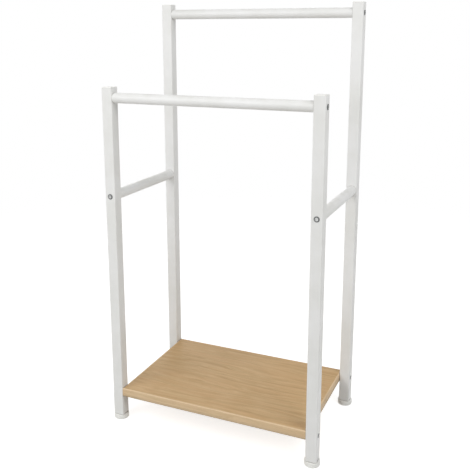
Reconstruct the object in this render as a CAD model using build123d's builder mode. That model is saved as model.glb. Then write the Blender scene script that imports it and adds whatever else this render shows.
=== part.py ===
from build123d import *
import os

os.makedirs("parts", exist_ok=True)

# Free-standing towel rack: two short front posts, two tall back posts, a towel rail across each
# pair, a side rail at each end and a low shelf. X runs left to right, Y runs front to back and Z is
# up. The origin is on the floor, in the middle between the four feet. Sizes are in millimetres.

# ---------------------------------------------------------------- frame
frame_width = 440.0            # over the outer faces of the left and right posts
frame_depth = 262.0            # over the outer faces of the front and back posts
front_post_length = 678.0      # tube alone, without foot and cap
back_post_length = 837.0       # tube alone, without foot and cap
side_rail_height = 478.0       # floor to the axis of both side rails

# ---------------------------------------------------------------- square post tube
post_side = 22.0
post_wall = 1.2
post_corner_radius = 1.8
post_bore_corner_radius = 0.6

# ---------------------------------------------------------------- round rail tube
rail_diameter = 20.0
rail_wall = 1.0

# ---------------------------------------------------------------- feet and caps
foot_diameter = 30.0
foot_height = 11.0
foot_bottom_round = 2.4
foot_top_round = 0.8
foot_shoulder_height = 1.0     # raised square that carries the post and leaves a shadow gap
foot_shoulder_inset = 0.7      # post's outer faces to the shoulder
cap_thickness = 2.0
cap_edge_round = 0.9

# ribbed plug that holds a foot or a cap in its tube
plug_length = 12.0
plug_wall = 1.6
plug_core_gap = 0.9            # core of the plug to the tube's inner face, each side
plug_rib_clearance = 0.1       # rib to the tube's inner face, each side
plug_rib_thickness = 1.2
plug_rib_pitch = 3.4
plug_rib_count = 3

# ---------------------------------------------------------------- rail screws (M6, low head)
rail_screw_diameter = 6.0
rail_screw_length = 35.0       # under the head
rail_screw_head_diameter = 10.5
rail_screw_head_height = 1.2
rail_screw_head_rim = 0.35     # straight rim below the dome
rail_screw_crown_diameter = 6.6
rail_screw_socket_width = 4.0  # across the flats of the hexagon
rail_screw_socket_depth = 2.0
rail_screw_tip_chamfer = 0.8
rail_screw_hole_clearance = 0.3    # shank to the hole in the post, all round
screw_below_plug = 4.0         # cap plug to the shank of the towel rail's screw

# threaded bush fixed in each rail end
bush_length = 15.0
bush_tube_clearance = 0.05     # bush to the tube's inner face, all round
bush_thread_clearance = 0.05   # shank to thread, all round
bush_chamfer = 0.6

# ---------------------------------------------------------------- shelf
shelf_height = 71.0            # floor to the shelf's top face
shelf_thickness = 18.0
shelf_setback = 1.0            # post's outer face to the shelf's edge, front and back
skin_thickness = 0.4
band_thickness = 3.0           # oak lipping round all four edges
band_edge_round = 1.8

# shelf screws (low head with cross recess)
shelf_screw_diameter = 4.2
shelf_screw_length = 40.0      # under the head
shelf_screw_tip_length = 4.0
shelf_screw_head_diameter = 8.0
shelf_screw_head_height = 1.0
shelf_screw_head_rim = 0.3
shelf_screw_crown_diameter = 4.8
shelf_screw_slot_length = 3.6
shelf_screw_slot_width = 0.9
shelf_screw_slot_depth = 1.4
shelf_screw_hole_clearance = 0.3   # shank to the hole in the post, all round
shelf_screw_pilot_clearance = 0.05     # shank to the pilot hole, all round
shelf_screw_end_gap = 1.0      # tip to the bottom of the pilot hole

# ---------------------------------------------------------------- worked out from the above
post_bore = post_side - 2 * post_wall
post_x = (frame_width - post_side) / 2
post_y = (frame_depth - post_side) / 2
inner_width = frame_width - 2 * post_side      # between the left and right posts
inner_depth = frame_depth - 2 * post_side      # between the front and back posts
towel_rail_drop = plug_length + screw_below_plug + rail_screw_diameter / 2
front_rail_height = foot_height + front_post_length - towel_rail_drop
back_rail_height = foot_height + back_post_length - towel_rail_drop
shelf_depth = frame_depth - 2 * shelf_setback
shelf_screw_height = shelf_height - shelf_thickness / 2
pilot_depth = shelf_screw_length - post_side + shelf_screw_end_gap

RIGHT, BACK, UP = Vector(1, 0, 0), Vector(0, 1, 0), Vector(0, 0, 1)


def save(part, name):
    """Label one finished piece and write it as a STEP file."""
    part.label = name
    export_step(part, f"parts/{name}.step")


def profile_plane(seat):
    """Plane through the seat's normal, with its own Y along that normal."""
    return Plane(origin=seat.origin, x_dir=seat.x_dir, z_dir=-seat.y_dir)


def seat_axis(seat):
    """Axis along the seat's normal."""
    return Axis(seat.origin, seat.z_dir)


# ---------------------------------------------------------------- where things stand
# name: side along X, side along Y, tube length, height of the towel rail's axis
corners = {
    "front_left": (-1, -1, front_post_length, front_rail_height),
    "front_right": (1, -1, front_post_length, front_rail_height),
    "back_left": (-1, 1, back_post_length, back_rail_height),
    "back_right": (1, 1, back_post_length, back_rail_height),
}


def post_outer_seat(side_x, side_y, height):
    """Plane on the post's left or right outer face, with its normal pointing away from the rack."""
    face_x = side_x * frame_width / 2
    return Plane(origin=(face_x, side_y * post_y, height), z_dir=RIGHT * side_x)


def post_end_seat(side_x, side_y, height):
    """Plane on the post's front or back outer face, with its normal pointing away from the rack."""
    face_y = side_y * frame_depth / 2
    return Plane(origin=(side_x * post_x, face_y, height), z_dir=BACK * side_y)


# ---------------------------------------------------------------- posts
def make_post(side_x, side_y, length, rail_height):
    """Square tube with the holes for its towel rail, side rail and shelf screws."""
    rail_hole = rail_screw_diameter / 2 + rail_screw_hole_clearance
    shelf_hole = shelf_screw_diameter / 2 + shelf_screw_hole_clearance
    with BuildPart() as post:
        with BuildSketch(Plane((side_x * post_x, side_y * post_y, foot_height))):
            RectangleRounded(post_side, post_side, post_corner_radius)
            RectangleRounded(post_bore, post_bore, post_bore_corner_radius, mode=Mode.SUBTRACT)
        extrude(amount=length)
        with Locations(post_outer_seat(side_x, side_y, rail_height)):
            Hole(rail_hole, depth=post_side)
        with Locations(post_end_seat(side_x, side_y, side_rail_height)):
            Hole(rail_hole, depth=post_side)
        with Locations(post_outer_seat(side_x, side_y, shelf_screw_height)):
            Hole(shelf_hole, depth=post_side)
    return post.part


for corner, (side_x, side_y, length, rail_height) in corners.items():
    save(make_post(side_x, side_y, length, rail_height), f"{corner}_post")


# ---------------------------------------------------------------- ribbed plug
# The plug stands on the XY plane and points up. Feet take it as it is and caps take it upside down.
plug_core = post_bore - 2 * plug_core_gap
plug_rib = post_bore - 2 * plug_rib_clearance
first_rib = plug_length - (plug_rib_count - 1) * plug_rib_pitch - 2 * plug_rib_thickness

with BuildPart() as plug:
    with BuildSketch():
        Rectangle(plug_core, plug_core)
    extrude(amount=plug_length)
    for rib in range(plug_rib_count):
        with BuildSketch(Plane.XY.offset(first_rib + rib * plug_rib_pitch)):
            Rectangle(plug_rib, plug_rib)
            chamfer(vertices(), plug_core_gap)
        extrude(amount=plug_rib_thickness)
    with BuildSketch(Plane.XY.offset(plug_length)):
        Rectangle(plug_core - 2 * plug_wall, plug_core - 2 * plug_wall)
    extrude(amount=-plug_length, mode=Mode.SUBTRACT)


# ---------------------------------------------------------------- feet
shoulder_side = post_side - 2 * foot_shoulder_inset
disc_height = foot_height - foot_shoulder_height


def make_foot(side_x, side_y):
    """Round glide with a square shoulder under the post and a ribbed plug up inside it."""
    with BuildPart() as foot:
        with BuildSketch(Plane((side_x * post_x, side_y * post_y, 0))):
            Circle(foot_diameter / 2)
        extrude(amount=disc_height)
        rims = foot.edges().filter_by(GeomType.CIRCLE).sort_by(Axis.Z)
        fillet(rims[0], foot_bottom_round)
        fillet(foot.edges().filter_by(GeomType.CIRCLE).sort_by(Axis.Z)[-1], foot_top_round)
        with BuildSketch(Plane((side_x * post_x, side_y * post_y, disc_height))):
            RectangleRounded(shoulder_side, shoulder_side, post_corner_radius - foot_shoulder_inset)
        extrude(amount=foot_shoulder_height)
        with Locations((side_x * post_x, side_y * post_y, foot_height)):
            add(plug.part)
    return foot.part


# ---------------------------------------------------------------- caps
def make_cap(side_x, side_y, post_top):
    """Square cap with a softened upper edge and a ribbed plug that goes down into the post."""
    seat = Plane((side_x * post_x, side_y * post_y, post_top))
    with BuildPart() as cap:
        with BuildSketch(seat):
            RectangleRounded(post_side, post_side, post_corner_radius)
        extrude(amount=cap_thickness)
        fillet(cap.faces().sort_by(Axis.Z)[-1].edges(), cap_edge_round)
        with Locations(Plane(origin=seat.origin, z_dir=-UP)):
            add(plug.part)
    return cap.part


for corner, (side_x, side_y, length, _) in corners.items():
    save(make_foot(side_x, side_y), f"{corner}_foot")
    save(make_cap(side_x, side_y, foot_height + length), f"{corner}_cap")


# ---------------------------------------------------------------- rails and their bushes
# name: middle of the rail, direction of its axis, length, names of its two ends
rails = {
    "front_towel_rail": ((0, -post_y, front_rail_height), RIGHT, inner_width, ("left", "right")),
    "back_towel_rail": ((0, post_y, back_rail_height), RIGHT, inner_width, ("left", "right")),
    "left_side_rail": ((-post_x, 0, side_rail_height), BACK, inner_depth, ("front", "back")),
    "right_side_rail": ((post_x, 0, side_rail_height), BACK, inner_depth, ("front", "back")),
}
rail_bore = rail_diameter - 2 * rail_wall


def make_rail(middle, direction, length):
    """Round tube, cut square at both ends."""
    with BuildPart() as rail:
        with BuildSketch(Plane(origin=middle, z_dir=direction)):
            Circle(rail_diameter / 2)
            Circle(rail_bore / 2, mode=Mode.SUBTRACT)
        extrude(amount=length / 2, both=True)
    return rail.part


def make_bush(end_plane):
    """Threaded bush inside a rail end, flush with it. The plane's normal points out of the rail."""
    with BuildPart() as bush:
        with BuildSketch(end_plane):
            Circle(rail_bore / 2 - bush_tube_clearance)
        extrude(amount=-bush_length)
        chamfer(bush.edges().filter_by(GeomType.CIRCLE), bush_chamfer)
        with Locations(end_plane):
            Hole(rail_screw_diameter / 2 + bush_thread_clearance, depth=bush_length)
    return bush.part


# ---------------------------------------------------------------- rail screws
def make_rail_screw(seat):
    """Low-head screw with a hexagon socket. Its head sits on the seat plane."""
    head_radius = rail_screw_head_diameter / 2
    crown_radius = rail_screw_crown_diameter / 2
    shank_radius = rail_screw_diameter / 2
    tip_radius = shank_radius - rail_screw_tip_chamfer
    rim_top = (head_radius, rail_screw_head_rim)
    crown_edge = (crown_radius, rail_screw_head_height)
    with BuildPart() as screw:
        with BuildSketch(profile_plane(seat)):
            with BuildLine():
                Polyline((shank_radius, 0), (head_radius, 0), rim_top)
                EllipticalCenterArc(
                    (crown_radius, rail_screw_head_rim),
                    head_radius - crown_radius,
                    rail_screw_head_height - rail_screw_head_rim,
                    arc_size=90,
                )
                Polyline(
                    crown_edge,
                    (0, rail_screw_head_height),
                    (0, -rail_screw_length),
                    (tip_radius, -rail_screw_length),
                    (shank_radius, rail_screw_tip_chamfer - rail_screw_length),
                    (shank_radius, 0),
                )
            make_face()
        revolve(axis=seat_axis(seat))
        with BuildSketch(seat.offset(rail_screw_head_height)):
            RegularPolygon(rail_screw_socket_width / 2, 6, major_radius=False)
        extrude(amount=-rail_screw_socket_depth, mode=Mode.SUBTRACT)
    return screw.part


for rail_name, (middle, direction, length, end_names) in rails.items():
    save(make_rail(middle, direction, length), rail_name)
    for end_name, sign in zip(end_names, (-1, 1)):
        end_centre = Vector(*middle) + direction * (sign * length / 2)
        end_plane = Plane(origin=end_centre, z_dir=direction * sign)
        save(make_bush(end_plane), f"{rail_name}_{end_name}_bush")
        save(make_rail_screw(end_plane.offset(post_side)), f"{rail_name}_{end_name}_screw")


# ---------------------------------------------------------------- shelf
shelf_bottom = shelf_height - shelf_thickness
core_length = inner_width - 2 * band_thickness
core_depth = shelf_depth - 2 * band_thickness
pilot_radius = shelf_screw_diameter / 2 + shelf_screw_pilot_clearance


def shelf_end_seats(side_x):
    """Planes on one end of the shelf, one at each post, with their normals pointing outwards."""
    face_x = side_x * inner_width / 2
    return [
        Plane(origin=(face_x, side_y * post_y, shelf_screw_height), z_dir=RIGHT * side_x)
        for side_y in (-1, 1)
    ]


with BuildPart() as shelf_core:
    with BuildSketch(Plane.XY.offset(shelf_bottom + skin_thickness)):
        Rectangle(core_length, core_depth)
    extrude(amount=shelf_thickness - 2 * skin_thickness)
    with Locations(*shelf_end_seats(-1), *shelf_end_seats(1)):
        Hole(pilot_radius, depth=pilot_depth)
save(shelf_core.part, "shelf_core")

with BuildPart() as shelf_top_skin:
    with BuildSketch(Plane.XY.offset(shelf_height - skin_thickness)):
        Rectangle(core_length, core_depth)
    extrude(amount=skin_thickness)
save(shelf_top_skin.part, "shelf_top_skin")

with BuildPart() as shelf_bottom_skin:
    with BuildSketch(Plane.XY.offset(shelf_bottom)):
        Rectangle(core_length, core_depth)
    extrude(amount=skin_thickness)
save(shelf_bottom_skin.part, "shelf_bottom_skin")


def make_end_band(side_x):
    """Edge band on one end of the shelf, between the front and back bands, drilled for the screws."""
    band_x = side_x * (inner_width - band_thickness) / 2
    with BuildPart() as band:
        with BuildSketch(Plane((band_x, 0, shelf_bottom))):
            Rectangle(band_thickness, core_depth)
        extrude(amount=shelf_thickness)
        outer_face = band.faces().sort_by(Axis.X)[0 if side_x < 0 else -1]
        fillet(outer_face.edges().filter_by(Axis.Y), band_edge_round)
        with Locations(*shelf_end_seats(side_x)):
            Hole(pilot_radius, depth=band_thickness)
    return band.part


def make_long_band(side_y):
    """Edge band along the front or back of the shelf, with its two long outer edges rounded."""
    band_y = side_y * (shelf_depth - band_thickness) / 2
    with BuildPart() as band:
        with BuildSketch(Plane((0, band_y, shelf_bottom))):
            Rectangle(inner_width, band_thickness)
        extrude(amount=shelf_thickness)
        outer_face = band.faces().sort_by(Axis.Y)[0 if side_y < 0 else -1]
        fillet(outer_face.edges().filter_by(Axis.X), band_edge_round)
    return band.part


save(make_long_band(-1), "shelf_front_band")
save(make_long_band(1), "shelf_back_band")
save(make_end_band(-1), "shelf_left_band")
save(make_end_band(1), "shelf_right_band")


# ---------------------------------------------------------------- shelf screws
def make_shelf_screw(seat):
    """Low-head screw with a cross recess and a pointed end. Its head sits on the seat plane."""
    head_radius = shelf_screw_head_diameter / 2
    crown_radius = shelf_screw_crown_diameter / 2
    shank_radius = shelf_screw_diameter / 2
    with BuildPart() as screw:
        with BuildSketch(profile_plane(seat)):
            with BuildLine():
                Polyline((shank_radius, 0), (head_radius, 0), (head_radius, shelf_screw_head_rim))
                EllipticalCenterArc(
                    (crown_radius, shelf_screw_head_rim),
                    head_radius - crown_radius,
                    shelf_screw_head_height - shelf_screw_head_rim,
                    arc_size=90,
                )
                Polyline(
                    (crown_radius, shelf_screw_head_height),
                    (0, shelf_screw_head_height),
                    (0, -shelf_screw_length),
                    (shank_radius, shelf_screw_tip_length - shelf_screw_length),
                    (shank_radius, 0),
                )
            make_face()
        revolve(axis=seat_axis(seat))
        with BuildSketch(seat.offset(shelf_screw_head_height)):
            Rectangle(shelf_screw_slot_length, shelf_screw_slot_width)
            Rectangle(shelf_screw_slot_width, shelf_screw_slot_length)
        extrude(amount=-shelf_screw_slot_depth, mode=Mode.SUBTRACT)
    return screw.part


for corner, (side_x, side_y, _, _) in corners.items():
    seat = post_outer_seat(side_x, side_y, shelf_screw_height)
    save(make_shelf_screw(seat), f"{corner}_shelf_screw")
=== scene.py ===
"""Dresses the free-standing towel rack: fine meshes, finishes, studio and camera.

Everything is in metres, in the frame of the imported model: X runs to the right, Y to the back and Z
up, with the floor at Z = 0. Places come from the boxes of the model's nodes. Sizes that a box can't
give, such as a wall or a thread, are fields of the class that makes the piece.
"""

import logging
import math
from collections.abc import Callable, Sequence
from dataclasses import dataclass, field, replace
from enum import Enum
from typing import Any, ClassVar

import bmesh
import bpy
from mathutils import Matrix, Vector


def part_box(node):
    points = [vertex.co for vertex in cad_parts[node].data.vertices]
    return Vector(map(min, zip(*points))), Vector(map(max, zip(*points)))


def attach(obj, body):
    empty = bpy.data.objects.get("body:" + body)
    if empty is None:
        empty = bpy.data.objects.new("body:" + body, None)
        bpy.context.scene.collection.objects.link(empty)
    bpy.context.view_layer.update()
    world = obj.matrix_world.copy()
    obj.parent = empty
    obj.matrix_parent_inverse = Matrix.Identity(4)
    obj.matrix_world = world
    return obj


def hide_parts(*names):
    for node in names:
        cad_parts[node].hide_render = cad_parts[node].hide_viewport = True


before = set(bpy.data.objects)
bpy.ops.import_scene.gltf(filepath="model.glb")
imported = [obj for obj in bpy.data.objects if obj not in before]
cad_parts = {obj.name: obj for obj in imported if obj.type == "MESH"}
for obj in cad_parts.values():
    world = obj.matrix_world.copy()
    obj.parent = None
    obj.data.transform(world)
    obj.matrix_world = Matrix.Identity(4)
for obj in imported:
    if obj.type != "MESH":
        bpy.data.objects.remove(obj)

log = logging.getLogger("towel rack")

MM = 0.001
WHOLE_TURN = 2 * math.pi
UP = Vector((0, 0, 1))
DOWN = Vector((0, 0, -1))
BODY = "root"
SEAT_AXIS = "seat_axis"
TURNED_PLACE = "turned_place"
RAY_SAMPLES = 6
ROUND_STEPS = 96
TINY = 1e-6
CREASE_ANGLE = 32.0

Colour = tuple[float, float, float, float]
Place = tuple[float, float, float]
Range = tuple[float, float]
Inputs = dict[str | int, Any]
Ring = list[Vector]
Radius = float | Callable[[float], float]
Profile = list[tuple[Radius, float]]


# ------------------------------------------------------------------------------- named options
class Side(Enum):
    """A side of the rack: its word in the nodes' names, and the way out of the rack there."""

    LEFT = ("left", (-1, 0, 0))
    RIGHT = ("right", (1, 0, 0))
    FRONT = ("front", (0, -1, 0))
    BACK = ("back", (0, 1, 0))

    @property
    def word(self) -> str:
        """The word in the nodes' names."""
        return self.value[0]

    @property
    def outward(self) -> Vector:
        """Unit vector that points out of the rack."""
        return Vector(self.value[1])


class Ends(Enum):
    """What happens to the first and the last ring of a skin."""

    CAPPED = "each is filled with a flat face"
    JOINED = "the last one is joined to the first"


class Slot(Enum):
    """The record's material slots, one for each kind of piece."""

    COAT = "white_powder_coat"
    CAP = "white_cap_plastic"
    FOOT = "white_foot_plastic"
    BUSH = "zinc_bush"
    SCREW = "nickel_screw"


class Socket(Enum):
    """Kinds of socket on a group's face."""

    VALUE = "NodeSocketFloat"
    COUNT = "NodeSocketInt"
    PLACE = "NodeSocketVector"
    SHAPE = "NodeSocketGeometry"
    PART = "NodeSocketObject"
    FINISH = "NodeSocketMaterial"

    @classmethod
    def of(cls, start: Any) -> "Socket":
        """The kind that fits a first value; a kind stands for itself, with no value."""
        kinds = {float: cls.VALUE, int: cls.COUNT, tuple: cls.PLACE}
        return start if isinstance(start, cls) else kinds[type(start)]


# ------------------------------------------------------------------------------- small helpers
def shade(red: float, green: float, blue: float) -> Colour:
    """Turns a colour as a screen shows it into the colour that a shader takes, by the sRGB curve.

    Args:
        red: red part, from 0 to 255.
        green: green part, from 0 to 255.
        blue: blue part, from 0 to 255.

    Returns:
        The scene-linear colour, opaque.
    """
    parts = [part / 255 for part in (red, green, blue)]
    linear = [part / 12.92 if part <= 0.04045 else ((part + 0.055) / 1.055) ** 2.4 for part in parts]
    return (*linear, 1.0)


def middle(node: str) -> Vector:
    """Middle of a node's box."""
    low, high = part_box(node)
    return (Vector(low) + Vector(high)) / 2


def size(node: str) -> Vector:
    """Size of a node's box along X, Y and Z."""
    low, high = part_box(node)
    return Vector(high) - Vector(low)


def placed(name: str, data: bpy.types.ID) -> bpy.types.Object:
    """Makes an object and links it to the scene.

    Args:
        name: the object's name.
        data: what it holds, such as a mesh or a lamp.

    Returns:
        The object.
    """
    made = bpy.data.objects.new(name, data)
    bpy.context.scene.collection.objects.link(made)
    return made


# ------------------------------------------------------------------------------- node graphs
class Wire:
    """What comes out of a node, in a form that sums can be written with."""

    def __init__(self, graph: "Graph", socket: bpy.types.NodeSocket) -> None:
        """Keeps the socket and the graph that its sums go into."""
        self.graph = graph
        self.socket = socket

    def __add__(self, other: Any) -> "Wire":
        """This and the other."""
        return self.graph.math("ADD", self, other)

    def __sub__(self, other: Any) -> "Wire":
        """This less the other."""
        return self.graph.math("SUBTRACT", self, other)

    def __rsub__(self, other: Any) -> "Wire":
        """The other less this."""
        return self.graph.math("SUBTRACT", other, self)

    def __mul__(self, other: Any) -> "Wire":
        """This times the other."""
        return self.graph.math("MULTIPLY", self, other)

    def __truediv__(self, other: Any) -> "Wire":
        """This over the other."""
        return self.graph.math("DIVIDE", self, other)

    def __rtruediv__(self, other: Any) -> "Wire":
        """The other over this."""
        return self.graph.math("DIVIDE", other, self)


Wires = dict[str, Wire]


class Graph:
    """Adds nodes to one tree and feeds them plain values or other nodes' wires."""

    def __init__(self, tree: bpy.types.NodeTree) -> None:
        """Keeps the tree that the nodes go into."""
        self.tree = tree

    @classmethod
    def emptied(cls, owner: bpy.types.Material | bpy.types.World) -> "Graph":
        """Clears the nodes that a material or a world starts with.

        Args:
            owner: the material or world.

        Returns:
            Its graph, empty.
        """
        owner.use_nodes = True
        owner.node_tree.nodes.clear()
        return cls(owner.node_tree)

    def add(self, kind: str, inputs: Inputs | None = None, **settings: Any) -> bpy.types.Node:
        """Adds one node.

        Args:
            kind: Blender's word for the type of node.
            inputs: a value or a wire for each input, by name or number.
            settings: the node's own options.

        Returns:
            The new node.
        """
        node = self.tree.nodes.new(kind)
        for option, value in settings.items():
            setattr(node, option, value)
        for name, value in (inputs or {}).items():
            self.feed(node.inputs[name], value)
        return node

    def feed(self, entry: bpy.types.NodeSocket, value: Any) -> None:
        """Links a wire to an input, or sets the input's own value.

        Args:
            entry: the input.
            value: the wire or value.
        """
        if isinstance(value, Wire):
            self.tree.links.new(value.socket, entry)
        else:
            entry.default_value = value

    def get(self, kind: str, inputs: Inputs | None = None, out: int | str = 0, **settings: Any) -> Wire:
        """Adds one node and gives one of its outputs, by name or number."""
        return Wire(self, self.add(kind, inputs, **settings).outputs[out])

    def outs(self, node: bpy.types.Node) -> Wires:
        """All of a node's outputs, by name."""
        return {socket.name: Wire(self, socket) for socket in node.outputs}

    def math(self, operation: str, *values: Any) -> Wire:
        """Result of one sum on numbers."""
        return self.get("ShaderNodeMath", dict(enumerate(values)), operation=operation)

    def vector(self, operation: str, *values: Any, out: int | str = 0) -> Wire:
        """Result of one sum on vectors; a result that is a number comes out at "Value"."""
        return self.get("ShaderNodeVectorMath", dict(enumerate(values)), out, operation=operation)

    def point(self, x: Any = 0.0, y: Any = 0.0, z: Any = 0.0) -> Wire:
        """Vector of three numbers."""
        return self.get("ShaderNodeCombineXYZ", {"X": x, "Y": y, "Z": z})

    def part(self, vector: Any, axis: str) -> Wire:
        """One part of a vector: X, Y or Z."""
        return self.get("ShaderNodeSeparateXYZ", {0: vector}, axis)

    def here(self) -> Wire:
        """The surface's place, in the frame of the rack."""
        return self.get("ShaderNodeTexCoord", out="Object")

    def facing(self) -> Wire:
        """The way that the surface looks."""
        return self.get("ShaderNodeNewGeometry", out="Normal")

    def blend(self, amount: Any, first: Any, second: Any) -> Wire:
        """Colour that goes from first, at 0, to second, at 1; 6, 7 and 2 are the node's colours."""
        return self.get("ShaderNodeMix", {0: amount, 6: first, 7: second}, 2, data_type="RGBA")

    def layers(self, base: Wire, *layers: tuple[Wire, float, Colour]) -> Wire:
        """Lays colours over a base, one after the other.

        Args:
            base: the colour underneath.
            layers: where each layer is, how much of it covers there, and its colour.

        Returns:
            The colour on top.
        """
        for mask, cover, colour in layers:
            base = self.blend(mask * cover, base, colour)
        return base

    def between(self, value: Any, low: Any, high: Any, start: Any = 0.0, stop: Any = 1.0) -> Wire:
        """Smooth step from start, where the value is low, to stop, where it is high."""
        inputs = {"Value": value, "From Min": low, "From Max": high, "To Min": start, "To Max": stop}
        return self.get("ShaderNodeMapRange", inputs, interpolation_type="SMOOTHSTEP")

    def spread(self, value: Any, start: Any, stop: Any) -> Wire:
        """Straight line from start, where the value is 0, to stop, where it is 1."""
        return self.get("ShaderNodeMapRange", {"Value": value, "To Min": start, "To Max": stop})

    def noise(self, place: Any, scale: Any, detail: float = 2.0, roughness: float = 0.5) -> Wire:
        """Soft noise from 0 to 1 at a place."""
        inputs = {"Vector": place, "Scale": scale, "Detail": detail, "Roughness": roughness}
        return self.get("ShaderNodeTexNoise", inputs)

    def relief(self, height: Any, depth: float) -> Wire:
        """Normal of a surface with relief; depth is what a height of 1 stands for."""
        return self.get("ShaderNodeBump", {"Strength": 1.0, "Distance": depth, "Height": height})


class Group(Graph):
    """A node group with named inputs and outputs, built the first time that it is asked for."""

    title: ClassVar[str]
    kind: ClassVar[str] = "ShaderNodeTree"
    result: ClassVar[Socket] = Socket.VALUE
    inputs: ClassVar[dict[str, Any]]

    def __init__(self) -> None:
        """Finds the group's tree, or makes it."""
        found = bpy.data.node_groups.get(self.title)
        super().__init__(found or bpy.data.node_groups.new(self.title, self.kind))
        if not found:
            self.build()

    def build(self) -> None:
        """Makes the group's inputs, and an output for each thing that connect() gives."""
        face = self.tree.interface
        for name, start in self.inputs.items():
            entry = face.new_socket(name=name, in_out="INPUT", socket_type=Socket.of(start).value)
            if not isinstance(start, Socket):
                entry.default_value = start
        self.given = self.outs(self.add("NodeGroupInput"))
        made = self.connect()
        for name in made:
            face.new_socket(name=name, in_out="OUTPUT", socket_type=self.result.value)
        self.add("NodeGroupOutput", made)

    def connect(self) -> Wires:
        """Adds the group's nodes, which start from the inputs in given.

        Returns:
            What feeds each output, by name.
        """
        raise NotImplementedError


# ------------------------------------------------------------------------------- shared effects
class Effect(Group):
    """A shader group that several finishes use."""

    def place(self, graph: Graph, **values: Any) -> Wires:
        """Places the group in a material, with underscores for the spaces in its inputs' names."""
        inputs = {name.replace("_", " "): value for name, value in values.items()}
        return graph.outs(graph.add("ShaderNodeGroup", inputs, node_tree=self.tree))


class OrangePeel(Effect):
    """The fine dimples of sprayed or moulded surfaces, with a slow drift of tone."""

    title = "Orange peel"
    inputs = {"Dimple size": 1.4 * MM, "Drift size": 60 * MM}
    dimple_share: ClassVar[float] = 0.6
    wave_share: ClassVar[float] = 0.9
    wave_scale: ClassVar[float] = 0.28
    tone_range: ClassVar[Range] = (0.3, 0.7)

    def connect(self) -> Wires:
        """Adds longer waves to the dimples, and takes the tone from a slow noise.

        Returns:
            The height and the tone.
        """
        here = self.here()
        scale = 1.0 / self.given["Dimple size"]
        dimples = self.noise(here, scale, detail=1.0)
        waves = self.noise(here, scale * self.wave_scale, detail=1.0)
        drift = self.noise(here, 1.0 / self.given["Drift size"], detail=3.0, roughness=0.6)
        height = dimples * self.dimple_share + waves * self.wave_share
        return {"Height": height, "Tone": self.between(drift, *self.tone_range)}


class EdgeWear(Effect):
    """How near the surface is to a sharp edge, broken up along its length."""

    title = "Edge wear"
    inputs = {"Radius": 1.0 * MM, "Breakup size": 6 * MM, "Breakup": 0.5}
    edge_range: ClassVar[Range] = (0.02, 0.16)
    patch_range: ClassVar[Range] = (0.35, 0.6)

    def connect(self) -> Wires:
        """Compares the rounded normal with the plain one, and takes out patches.

        Returns:
            The mask, which is 1 on a whole edge.
        """
        rounded = self.get("ShaderNodeBevel", {"Radius": self.given["Radius"]}, samples=RAY_SAMPLES)
        apart = 1.0 - self.vector("DOT_PRODUCT", rounded, self.facing(), out="Value")
        patches = self.noise(self.here(), 1.0 / self.given["Breakup size"], detail=3.0)
        kept = self.spread(self.between(patches, *self.patch_range), 1.0 - self.given["Breakup"], 1.0)
        return {"Mask": self.between(apart, *self.edge_range) * kept}


class SandedEdge(Effect):
    """Rounded edges of a board, found by how far the surface leans between level and upright; painted light
    and shade go on upper ones, painted shade on lower ones.
    """

    title = "Sanded edge"
    inputs = {"Sharpness": 0.5}
    least_lean: ClassVar[float] = 0.1
    lean_scale: ClassVar[float] = 4.0

    def connect(self) -> Wires:
        """Measures the lean, which is 0 on level and upright faces and 1 halfway between.

        Returns:
            A mask for edges that look up and one for edges that look down.
        """
        rise = self.part(self.facing(), "Z")
        level = rise * rise
        lean = level * self.lean_scale * (1.0 - level)
        edge = self.between(lean, self.least_lean, self.given["Sharpness"])
        # The split by which way an edge looks is for painted light: lighter above, painted shade below.
        upper = self.math("GREATER_THAN", rise, 0.0)
        return {"Upper": edge * upper, "Lower": edge * (1.0 - upper)}


class Crevice(Effect):
    """Painted shade where two parts meet and in narrow gaps, taken from ambient occlusion."""

    title = "Crevice"
    inputs = {"Reach": 3 * MM}
    open_range: ClassVar[Range] = (0.2, 0.9)

    def connect(self) -> Wires:
        """Turns the share of open sky round.

        Returns:
            The mask: 0 on an open face, about a half in a corner and 1 inside a gap.
        """
        # Painted shade: the less open sky a point sees, the darker the finishes make its colour.
        reach = {"Distance": self.given["Reach"]}
        open_share = self.get("ShaderNodeAmbientOcclusion", reach, "AO", samples=RAY_SAMPLES)
        return {"Mask": self.between(open_share, *self.open_range, 1.0, 0.0)}


class SettledDust(Effect):
    """A thin film of dust: most on faces that look up, with a few specks anywhere."""

    title = "Settled dust"
    inputs = {"Amount": 0.3, "Speck size": 1.2 * MM, "Cloud size": 30 * MM}
    up_range: ClassVar[Range] = (0.2, 1.0)
    cloud_range: ClassVar[Range] = (0.35, 0.75)
    speck_range: ClassVar[Range] = (0.70, 0.78)
    speck_share: ClassVar[float] = 0.3

    def connect(self) -> Wires:
        """Lays clouds on the upward faces and adds specks.

        Returns:
            The mask, scaled by the amount.
        """
        here = self.here()
        upward = self.between(self.part(self.facing(), "Z"), *self.up_range)
        clouds = self.noise(here, 1.0 / self.given["Cloud size"], detail=4.0, roughness=0.6)
        specks = self.between(self.noise(here, 1.0 / self.given["Speck size"]), *self.speck_range)
        film = upward * self.between(clouds, *self.cloud_range) + specks * self.speck_share
        return {"Mask": film * self.given["Amount"]}


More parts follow.
